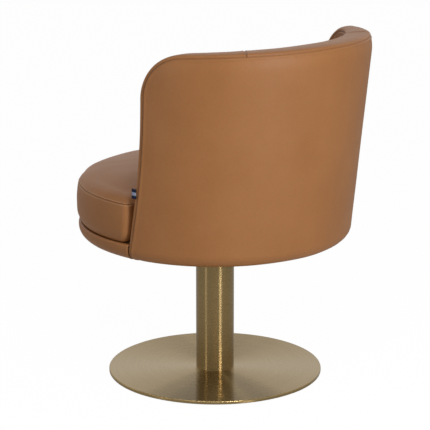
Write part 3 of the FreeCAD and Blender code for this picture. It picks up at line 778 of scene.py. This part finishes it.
# Label tab: a short woven ribbon, folded double and caught in the front seam of the wing at +X. It is
# navy with one plain pale bar across it.
ribbon, tree, shader, place = new_material("woven ribbon")
parts = add_node(tree, "ShaderNodeSeparateXYZ", {0: place})
threads = add_node(tree, "ShaderNodeTexWave", {
    "Vector": place, "Scale": 900.0, "Distortion": 0.5}, bands_direction="Z")
tab_low, tab_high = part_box("label_tab")
tab_middle_z, bar_half_height = (tab_low.z + tab_high.z) / 2, 0.0035
bar_centre = add_node(tree, "ShaderNodeMath", {
    0: parts.outputs["Z"], 1: tab_middle_z}, operation="SUBTRACT")
bar_away = add_node(tree, "ShaderNodeMath", {0: bar_centre}, operation="ABSOLUTE")
bar = add_node(tree, "ShaderNodeMath", {0: bar_away, 1: bar_half_height}, operation="LESS_THAN")
ribbon_tone = add_node(tree, "ShaderNodeMix", {
    "Factor": bar, 6: linear("#121A30"), 7: linear("#8D94A8")}, data_type="RGBA")
thread_bump = add_node(tree, "ShaderNodeBump", {
    "Height": threads.outputs["Fac"], "Strength": 0.5, "Distance": 0.0002})
fill_in(shader, {
    "Roughness": 0.7, "Specular IOR Level": 0.2, "Base Color": ribbon_tone.outputs[2],
    "Normal": thread_bump})
ribbon_thickness = 0.0005
middle_x = (tab_low.x + tab_high.x) / 2
half_gap = (tab_high.x - tab_low.x) / 2 - ribbon_thickness / 2
fold = [(middle_x + half_gap, tab_high.y), (middle_x + half_gap, tab_low.y + half_gap)]
for turn in np.linspace(0.0, math.pi, 9)[1:-1]:
    fold.append((middle_x + half_gap * math.cos(turn), tab_low.y + half_gap - half_gap * math.sin(turn)))
fold += [(middle_x - half_gap, tab_low.y + half_gap), (middle_x - half_gap, tab_high.y)]
heights = np.linspace(tab_low.z, tab_high.z, 12)
grid = np.array([[(x, y, z) for x, y in fold] for z in heights])
tab = new_piece("folded_tab", grid.reshape(-1, 3), grid_faces(*grid.shape[:2]), [ribbon])
give_thickness(tab, ribbon_thickness, offset=0.0)
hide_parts("label_tab")
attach(tab, "seat")

# Cushion: a thick boxed foam cushion between the wings. A crowned leather top and a leather side
# band meet in a seam with a row of stitches on each side, and black cloth closes the bottom.
cushion_radius = 0.287
cushion_gap = 0.002
ear_y, ear_lean, ear_corner = 0.031, 0.09, 0.014
cushion_profile = [
    (0.0, 0.024), (0.0, 0.015), (0.0015, 0.0098), (0.012, 0.003), (0.038, 0.0), (0.062, 0.001),
    (0.081, 0.005), (0.091, 0.013), (0.0985, 0.026), (0.105, 0.052), (0.1105, 0.105), (0.1135, 0.200)]
seam_place = 6
stitch_row = 0.0030
seam_width = 0.0011
gap_shade = 0.012
seam_rows, crown_run = 0.008, 0.25
lip_from_seam, lip_spread = 0.0018, 0.0012


def smooth_through(points, places):
    """Points on a smooth curve through the given ones, at ways along it."""
    points = np.asarray(points, float)
    steps = np.linalg.norm(np.diff(points, axis=0), axis=1)
    along = np.concatenate([[0.0], np.cumsum(steps)])
    slopes = np.gradient(points, along, axis=0)
    index = np.clip(np.searchsorted(along, places, side="right") - 1, 0, len(steps) - 1)
    width = steps[index][:, None]
    share = (np.asarray(places)[:, None] - along[index][:, None]) / width
    low, high = points[index], points[index + 1]
    return (low * (2 * share ** 3 - 3 * share ** 2 + 1) + high * (3 * share ** 2 - 2 * share ** 3)
            + slopes[index] * width * (share ** 3 - 2 * share ** 2 + share)
            + slopes[index + 1] * width * (share ** 3 - share ** 2))


profile_steps = np.linalg.norm(np.diff(np.array(cushion_profile), axis=0), axis=1)
seam_way = profile_steps[:seam_place].sum()


def cushion_level(way):
    """The cushion's outline at one way up its profile, below the crown."""
    height, drawn = smooth_through(cushion_profile, [way])[0]
    z = deck_top + max(height, 0.0)
    corner = ear_corner - max(drawn - seam_inset, 0.0) if way > seam_way else ear_corner
    outline = seat_outline(cushion_radius - drawn, tub_radius(z) - cushion_gap - drawn, tub_centre(z),
                           ear_y + ear_lean * height - drawn, corner)
    return np.column_stack([outline, np.full(len(outline), z)])


seam_inset = cushion_profile[seam_place][1]
crown_way = seam_way + profile_steps[seam_place]
ways = np.concatenate([
    np.linspace(0.0, seam_way - seam_rows, 26, endpoint=False),
    seam_way + np.linspace(-seam_rows, seam_rows, 33),
    np.linspace(seam_way + seam_rows, crown_way, 6)[1:]])
rings = [cushion_level(way) for way in ways]
crown_middle = np.array([0.0, -0.06])
crown_shares = np.linspace(1.0, 0.02, 44)[1:]
for share in crown_shares:
    rings.append(np.column_stack([crown_middle + (rings[len(ways) - 1][:, :2] - crown_middle) * share,
                                  np.zeros(len(rings[0]))]))
ways = np.concatenate([ways, crown_way + (1 - crown_shares) * crown_run])
ring_grid = np.array(rings)

# The crown rises with the distance from the seam. A blurred copy of that height takes over away from
# the edge, because stretched leather keeps no ridge.
seam_outline = cushion_level(seam_way)[:, :2]
seam_outline = walk(np.concatenate([seam_outline, seam_outline[:1]]), np.linspace(0.0, 1.0, 1500))
to_outline = search_tree(np.column_stack([seam_outline, np.zeros(len(seam_outline))]))
crown_profile = np.array(cushion_profile)[seam_place:]


def crown_height(x, y):
    away = to_outline.find((x, y, 0.0))[2]
    return np.interp(seam_inset + away, crown_profile[:, 1], crown_profile[:, 0]), away


cell = 0.006
cells = np.arange(-51, 52) * cell
edge_kept, edge_blend = 0.006, 0.035
blur_passes = 24
seam_turns = np.arctan2(seam_outline[:, 1] - crown_middle[1], seam_outline[:, 0] - crown_middle[0])
seam_reach = np.hypot(seam_outline[:, 0], seam_outline[:, 1] - crown_middle[1])
order = np.argsort(seam_turns)
blurred = np.full((len(cells), len(cells)), crown_profile[0, 0])
for row, x in enumerate(cells):
    for column, y in enumerate(cells):
        reach = math.hypot(x, y - crown_middle[1])
        edge = np.interp(math.atan2(y - crown_middle[1], x), seam_turns[order], seam_reach[order],
                         period=2 * math.pi)
        if reach < edge:
            blurred[row, column] = crown_height(x, y)[0]
for blur in range(blur_passes):
    blurred[1:-1] = (blurred[:-2] + 2 * blurred[1:-1] + blurred[2:]) / 4
    blurred[:, 1:-1] = (blurred[:, :-2] + 2 * blurred[:, 1:-1] + blurred[:, 2:]) / 4
first_top_row = int(np.argmax(ways > seam_way + 0.0005))
for row in range(first_top_row, len(ways)):
    for column in range(ring_grid.shape[1]):
        x, y = ring_grid[row, column, :2]
        height, away = crown_height(x, y)
        blend = eased(min(max((away - edge_kept) / edge_blend, 0.0), 1.0))
        u, v = (x - cells[0]) / cell, (y - cells[0]) / cell
        i, j = int(u), int(v)
        u, v = u - i, v - j
        soft = ((blurred[i, j] * (1 - u) + blurred[i + 1, j] * u) * (1 - v)
                + (blurred[i, j + 1] * (1 - u) + blurred[i + 1, j + 1] * u) * v)
        ring_grid[row, column, 2] = deck_top + height * (1 - blend) + soft * blend
push = np.zeros(ring_grid.shape[:2])
closed_grid = np.concatenate([ring_grid[:, -1:], ring_grid, ring_grid[:, :1]], axis=1)
ring_normals = grid_normals(closed_grid)[:, 1:-1]

# The foam and its cover as one slightly smaller bag, blown up as cloth until it is plump. The
# seam and the bottom hardly stretch, so they hold it back. How far the bag moved is then read at
# each point of the cushion.
bag_inset, most_moved, probe, moments = 0.005, 0.012, 0.02, 20
seam_below, seam_half_height, seam_from_middle = 0.0025, 0.004, 0.22
held_seam, held_foot, foot_height = 0.6, 1.0, 0.010
least_push, most_push = -0.004, 0.006
bag = new_piece("cushion_bag", *closed_rings(list(ring_grid - ring_normals * bag_inset)), [leather])
weld = bag.modifiers.new("even mesh", "REMESH")
weld.mode = "VOXEL"
weld.voxel_size = 0.0055
depsgraph = bpy.context.evaluated_depsgraph_get()
even = bpy.data.meshes.new_from_object(bag.evaluated_get(depsgraph))
bag.modifiers.clear()
bag.data = even
before = np.array([vertex.co for vertex in even.vertices])
seam_height = deck_top + cushion_profile[seam_place][0] - seam_below
held = bag.vertex_groups.new(name="held")
for index, (x, y, z) in enumerate(before.tolist()):
    if abs(z - seam_height) < seam_half_height and math.hypot(x, y) > seam_from_middle:
        held.add([index], held_seam, "REPLACE")
    elif z < deck_top + foot_height:
        held.add([index], held_foot, "REPLACE")
cloth = bag.modifiers.new("cloth", "CLOTH")
cloth.settings.use_pressure = True
cloth.settings.uniform_pressure_force = 4.0
cloth.settings.vertex_group_mass = "held"
cloth.settings.effector_weights.gravity = 0.0
cloth.settings.quality = 5
cloth.collision_settings.use_collision = False
cloth.point_cache.frame_start = 1
cloth.point_cache.frame_end = moments
for moment in range(1, moments + 1):
    bpy.context.scene.frame_set(moment)
depsgraph = bpy.context.evaluated_depsgraph_get()
blown = bpy.data.meshes.new_from_object(bag.evaluated_get(depsgraph))
after = np.array([vertex.co for vertex in blown.vertices])
moved = after - before
distance = np.linalg.norm(moved, axis=1, keepdims=True)
capped = before + moved * np.minimum(1.0, most_moved / np.maximum(distance, 1e-9))
surface = BVHTree.FromPolygons(capped.tolist(), [list(face.vertices) for face in blown.polygons])
for row in range(ring_grid.shape[0]):
    for column in range(ring_grid.shape[1]):
        normal = Vector(ring_normals[row, column])
        start_point = Vector(ring_grid[row, column]) + normal * probe
        hit = surface.ray_cast(start_point, -normal, 2 * probe)
        push[row, column] = probe - hit[3] if hit[0] is not None else 0.0
push = np.clip(push, least_push, most_push)
for smoothing in range(6):
    wrapped = np.concatenate([push[:, -1:], push, push[:, :1]], axis=1)
    push = (wrapped[:, :-2] + wrapped[:, 1:-1] + wrapped[:, 2:]) / 3
    padded_rows = np.concatenate([push[:1], push, push[-1:]])
    push = (padded_rows[:-2] + padded_rows[1:-1] + padded_rows[2:]) / 3
push -= np.interp(seam_way, ways, push.mean(axis=1))
bpy.context.scene.frame_set(1)
bpy.data.objects.remove(bag)

from_seam = ways - seam_way
groove = -0.0011 * hump(from_seam, seam_width)
lips = 0.0006 * hump(np.abs(from_seam) - lip_from_seam, lip_spread)
rows_dent = -0.0004 * hump(np.abs(from_seam) - stitch_row, 0.0007)
pucker = (0.0005 * uneven(ring_grid, 0.011, 8) * np.exp(-np.abs(from_seam) / 0.010)[:, None]
          + 0.0010 * uneven(ring_grid * (1, 1, 0.35), 0.06, 9))
grounded = np.clip(ways / 0.03, 0.0, 1.0)
total = (push + (groove + lips + rows_dent)[:, None] + pucker) * grounded[:, None]
cushion_grid = ring_grid + ring_normals * total[..., None]
cushion_grid[..., 2] = np.maximum(cushion_grid[..., 2], deck_top)

# Black non-woven cloth: matt, pressed from fine fibres in a pattern of small dots.
black_cloth, tree, shader, place = new_material("black non-woven cloth")
dots = add_node(tree, "ShaderNodeTexVoronoi", {"Vector": place, "Scale": 500.0, "Randomness": 0.15})
fibres = add_node(tree, "ShaderNodeTexNoise", {"Vector": place, "Scale": 1500.0, "Detail": 3.0})
cloth_tone = add_node(tree, "ShaderNodeMix", {
    "Factor": fibres, 6: linear("#141414"), 7: linear("#2A2A2B")}, data_type="RGBA")
dot_bump = add_node(tree, "ShaderNodeBump", {
    "Height": dots.outputs["Distance"], "Strength": 0.5, "Distance": 0.0002})
fill_in(shader, {"Roughness": 0.9, "Base Color": cloth_tone.outputs[2], "Normal": dot_bump})

points, faces = closed_rings(list(cushion_grid))
bottom_reach = 0.010
lowest_rows = int(np.searchsorted(ways, bottom_reach))
columns = cushion_grid.shape[1]
face_materials = []
for face in faces:
    rows_of_face = [(index - 1) // columns for index in face if 0 < index < len(points) - 1]
    face_materials.append(1 if max(rows_of_face) <= lowest_rows else 0)
cushion = new_piece("seat_cushion", points, faces, [leather, black_cloth], face_materials)
# Painted shade: darker in the seam's groove and at the cushion's foot, where it meets the deck.
shade = np.maximum(0.4 * hump(from_seam, seam_width), np.clip(1 - ways / gap_shade, 0.0, 1.0))
mark_painted_shade(cushion, np.concatenate([[0.0], np.repeat(shade, columns), [0.0]]))
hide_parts("cushion_foam", "cushion_top_cover", "cushion_boxing", "cushion_base_cloth")
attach(cushion, "seat")

# Sewing thread: bonded polyester of 1.1 mm, a shade lighter than the leather, in lockstitches 4.4 mm
# apart. Each shows as one short raised float.
thread, tree, shader, place = new_material("bonded polyester thread")
twist = add_node(tree, "ShaderNodeTexNoise", {"Vector": place, "Scale": 2500.0, "Detail": 2.0})
thread_tone = add_node(tree, "ShaderNodeMix", {
    "Factor": twist, 6: linear("#BE9670"), 7: linear("#DAB894")}, data_type="RGBA")
thread_bump = add_node(tree, "ShaderNodeBump", {"Height": twist, "Strength": 0.4, "Distance": 0.0001})
fill_in(shader, {"Roughness": 0.5, "Base Color": thread_tone.outputs[2], "Normal": thread_bump})

stitching = bpy.data.node_groups.new("stitches along a seam", "GeometryNodeTree")
stitching.interface.new_socket("Seam", in_out="INPUT", socket_type="NodeSocketGeometry")
for name, value in (("Stitch Spacing", 0.0044), ("Stitch Length", 0.0034), ("Thread Thickness", 0.0011)):
    socket = stitching.interface.new_socket(name, in_out="INPUT", socket_type="NodeSocketFloat")
    socket.default_value = value
stitching.interface.new_socket("Thread", in_out="INPUT", socket_type="NodeSocketMaterial")
stitching.interface.new_socket("Stitches", in_out="OUTPUT", socket_type="NodeSocketGeometry")
given = add_node(stitching, "NodeGroupInput")
steps = add_node(stitching, "GeometryNodeResampleCurve", {
    "Curve": given.outputs["Seam"], "Length": given.outputs["Stitch Spacing"]}, mode="LENGTH")
direction = add_node(stitching, "GeometryNodeInputTangent")
turned = add_node(stitching, "FunctionNodeAlignRotationToVector", {"Vector": direction}, axis="X")
bead = add_node(stitching, "GeometryNodeMeshUVSphere", {"Segments": 8, "Rings": 6, "Radius": 0.5})
bead_size = add_node(stitching, "ShaderNodeCombineXYZ", {
    "X": given.outputs["Stitch Length"], "Y": given.outputs["Thread Thickness"],
    "Z": given.outputs["Thread Thickness"]})
float_shape = add_node(stitching, "GeometryNodeTransform", {
    "Geometry": bead.outputs["Mesh"], "Scale": bead_size})
placed = add_node(stitching, "GeometryNodeInstanceOnPoints", {
    "Points": steps.outputs["Curve"], "Instance": float_shape.outputs["Geometry"],
    "Rotation": turned.outputs["Rotation"]})
real = add_node(stitching, "GeometryNodeRealizeInstances", {"Geometry": placed.outputs["Instances"]})
smooth = add_node(stitching, "GeometryNodeSetShadeSmooth", {"Geometry": real.outputs["Geometry"]})
sewn = add_node(stitching, "GeometryNodeSetMaterial", {
    "Geometry": smooth.outputs["Geometry"], "Material": given.outputs["Thread"]})
add_node(stitching, "NodeGroupOutput", {"Stitches": sewn.outputs["Geometry"]})


def sew(name, line):
    """One row of stitches round a closed line of points on the leather, as a plain mesh."""
    curve = bpy.data.curves.new(name, "CURVE")
    curve.dimensions = "3D"
    spline = curve.splines.new("POLY")
    spline.points.add(len(line) - 1)
    spline.points.foreach_set("co", np.column_stack([line, np.ones(len(line))]).ravel())
    spline.use_cyclic_u = True
    path = bpy.data.objects.new(name + "_path", curve)
    bpy.context.scene.collection.objects.link(path)
    rows = path.modifiers.new("stitches", "NODES")
    rows.node_group = stitching
    for item in stitching.interface.items_tree:
        if item.name == "Thread":
            rows[item.identifier] = thread
    depsgraph = bpy.context.evaluated_depsgraph_get()
    mesh = bpy.data.meshes.new_from_object(path.evaluated_get(depsgraph))
    bpy.data.objects.remove(path)
    mesh.name = name
    row = bpy.data.objects.new(name, mesh)
    bpy.context.scene.collection.objects.link(row)
    return row


for name, side in (("stitches_on_side_band", -1), ("stitches_on_top", 1)):
    row = int(np.argmin(np.abs(from_seam - side * stitch_row)))
    line = cushion_grid[row] + ring_normals[row] * 0.0001
    stitches = sew(name, line)
    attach(stitches, "seat")

# Dust cover: black non-woven cloth over the seat's open bottom, stapled round its edge to the base
# ring. It is pulled tight, with shallow waves between the staples and a hole for the column.
cover_radius, cover_hole = 0.250, 0.045
staple_count, first_staple = 20, math.radians(9.0)
cover_thickness = 0.0004
cover_rings = []
for share in np.concatenate([np.linspace(0.0, 0.9, 16), np.linspace(0.92, 1.0, 6)]):
    radius = cover_hole + (cover_radius - cover_hole) * share
    ring = []
    for turn in np.linspace(0.0, 2 * math.pi, 240, endpoint=False):
        wave = 0.0001 * share ** 3 * (1 - math.cos(staple_count * (turn - first_staple)))
        ring.append((radius * math.cos(turn), radius * math.sin(turn), underside - 0.0001 - wave))
    cover_rings.append(ring)
grid = np.array(cover_rings)
rows, columns = grid.shape[:2]
faces = []
for row in range(rows - 1):
    for column in range(columns):
        after = (column + 1) % columns
        faces.append((row * columns + column, row * columns + after,
                      (row + 1) * columns + after, (row + 1) * columns + column))
cover = new_piece("dust_cloth", grid.reshape(-1, 3), faces, [black_cloth])
give_thickness(cover, cover_thickness)
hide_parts("dust_cover")
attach(cover, "seat")

# Studio: a pale floor, a white backdrop, one soft lamp at the right of the camera, a weaker one far
# at the left, and a third high above the camera. The camera sees the floor nearly white, with the
# chair's shadow on it. The metal mirrors a quarter of that white over the floor's own grey.
studio_floor, tree, shader, place = new_material("pale studio floor")
paint_marks = add_node(tree, "ShaderNodeTexNoise", {"Vector": place, "Scale": 3.0, "Detail": 3.0})
floor_tone = add_node(tree, "ShaderNodeMix", {
    "Factor": paint_marks, 6: linear("#D9D7D4"), 7: linear("#DDDBD8")}, data_type="RGBA")
fill_in(shader, {"Base Color": floor_tone.outputs[2], "Roughness": 0.9, "Specular IOR Level": 0.0})
white_seen, white_in_mirror = 0.95, 0.25
rays = add_node(tree, "ShaderNodeLightPath")
in_mirror = add_node(tree, "ShaderNodeMath", {
    0: rays.outputs["Is Glossy Ray"], 1: rays.outputs["Is Transmission Ray"]}, operation="MAXIMUM")
mirror_share = add_node(tree, "ShaderNodeMath", {0: in_mirror, 1: white_in_mirror}, operation="MULTIPLY")
white_share = add_node(tree, "ShaderNodeMath", {
    0: rays.outputs["Is Camera Ray"], 1: white_seen, 2: mirror_share}, operation="MULTIPLY_ADD")
plain_white = (1.0, 1.0, 1.0, 1.0)
white = add_node(tree, "ShaderNodeEmission", {"Color": plain_white, "Strength": 1.03})
floor_mix = add_node(tree, "ShaderNodeMixShader", {0: white_share, 1: shader, 2: white})
tree.links.new(floor_mix.outputs[0], tree.nodes["Material Output"].inputs["Surface"])
floor_half, floor_level = 40.0, -0.0002
floor = new_piece("studio_floor", [(x * floor_half, y * floor_half, floor_level)
                                   for x, y in ((-1, -1), (1, -1), (1, 1), (-1, 1))],
                  [(0, 1, 2, 3)], [studio_floor])

world = bpy.data.worlds.new("white studio")
bpy.context.scene.world = world
world.use_nodes = True
tree = world.node_tree
room = tree.nodes["Background"]
fill_in(room, {"Color": plain_white, "Strength": 0.21})
backdrop = add_node(tree, "ShaderNodeBackground", {"Color": plain_white, "Strength": 1.02})
rays = add_node(tree, "ShaderNodeLightPath")
seen = add_node(tree, "ShaderNodeMath", {
    0: rays.outputs["Is Camera Ray"], 1: rays.outputs["Is Glossy Ray"]}, operation="MAXIMUM")
seen = add_node(tree, "ShaderNodeMath", {
    0: seen, 1: rays.outputs["Is Transmission Ray"]}, operation="MAXIMUM")
either = add_node(tree, "ShaderNodeMixShader", {0: seen, 1: room, 2: backdrop})
tree.links.new(either.outputs[0], tree.nodes["World Output"].inputs["Surface"])


def soft_lamp(name, place, aim, width, height, power):
    light = bpy.data.lights.new(name, "AREA")
    light.shape = "RECTANGLE"
    light.size = width
    light.size_y = height
    light.energy = power
    lamp = bpy.data.objects.new(name, light)
    lamp.location = place
    lamp.rotation_euler = (Vector(aim) - Vector(place)).to_track_quat("-Z", "Y").to_euler()
    bpy.context.scene.collection.objects.link(lamp)


soft_lamp("key_lamp", (0.44, 1.95, 0.80), (0.0, 0.0, 0.4), 0.45, 0.35, 17.0)
soft_lamp("side_lamp", (2.2, -0.45, 0.78), (0.0, 0.0, 0.4), 0.3, 0.35, 5.0)
soft_lamp("high_lamp", (0.95, 1.15, 2.5), (0.0, 0.0, 0.6), 0.9, 0.9, 14.0)

camera_data = bpy.data.cameras.new("photo_camera")
camera_data.lens = 159.1
camera_data.sensor_width = 36.0
camera = bpy.data.objects.new("photo_camera", camera_data)
camera.location = (2.7445, 2.6876, 1.3345)
camera.rotation_euler = (Vector((0.0, 0.0, 0.339)) - camera.location).to_track_quat("-Z", "Y").to_euler()
bpy.context.scene.collection.objects.link(camera)
bpy.context.scene.camera = camera
bpy.context.scene.view_settings.view_transform = "Standard"
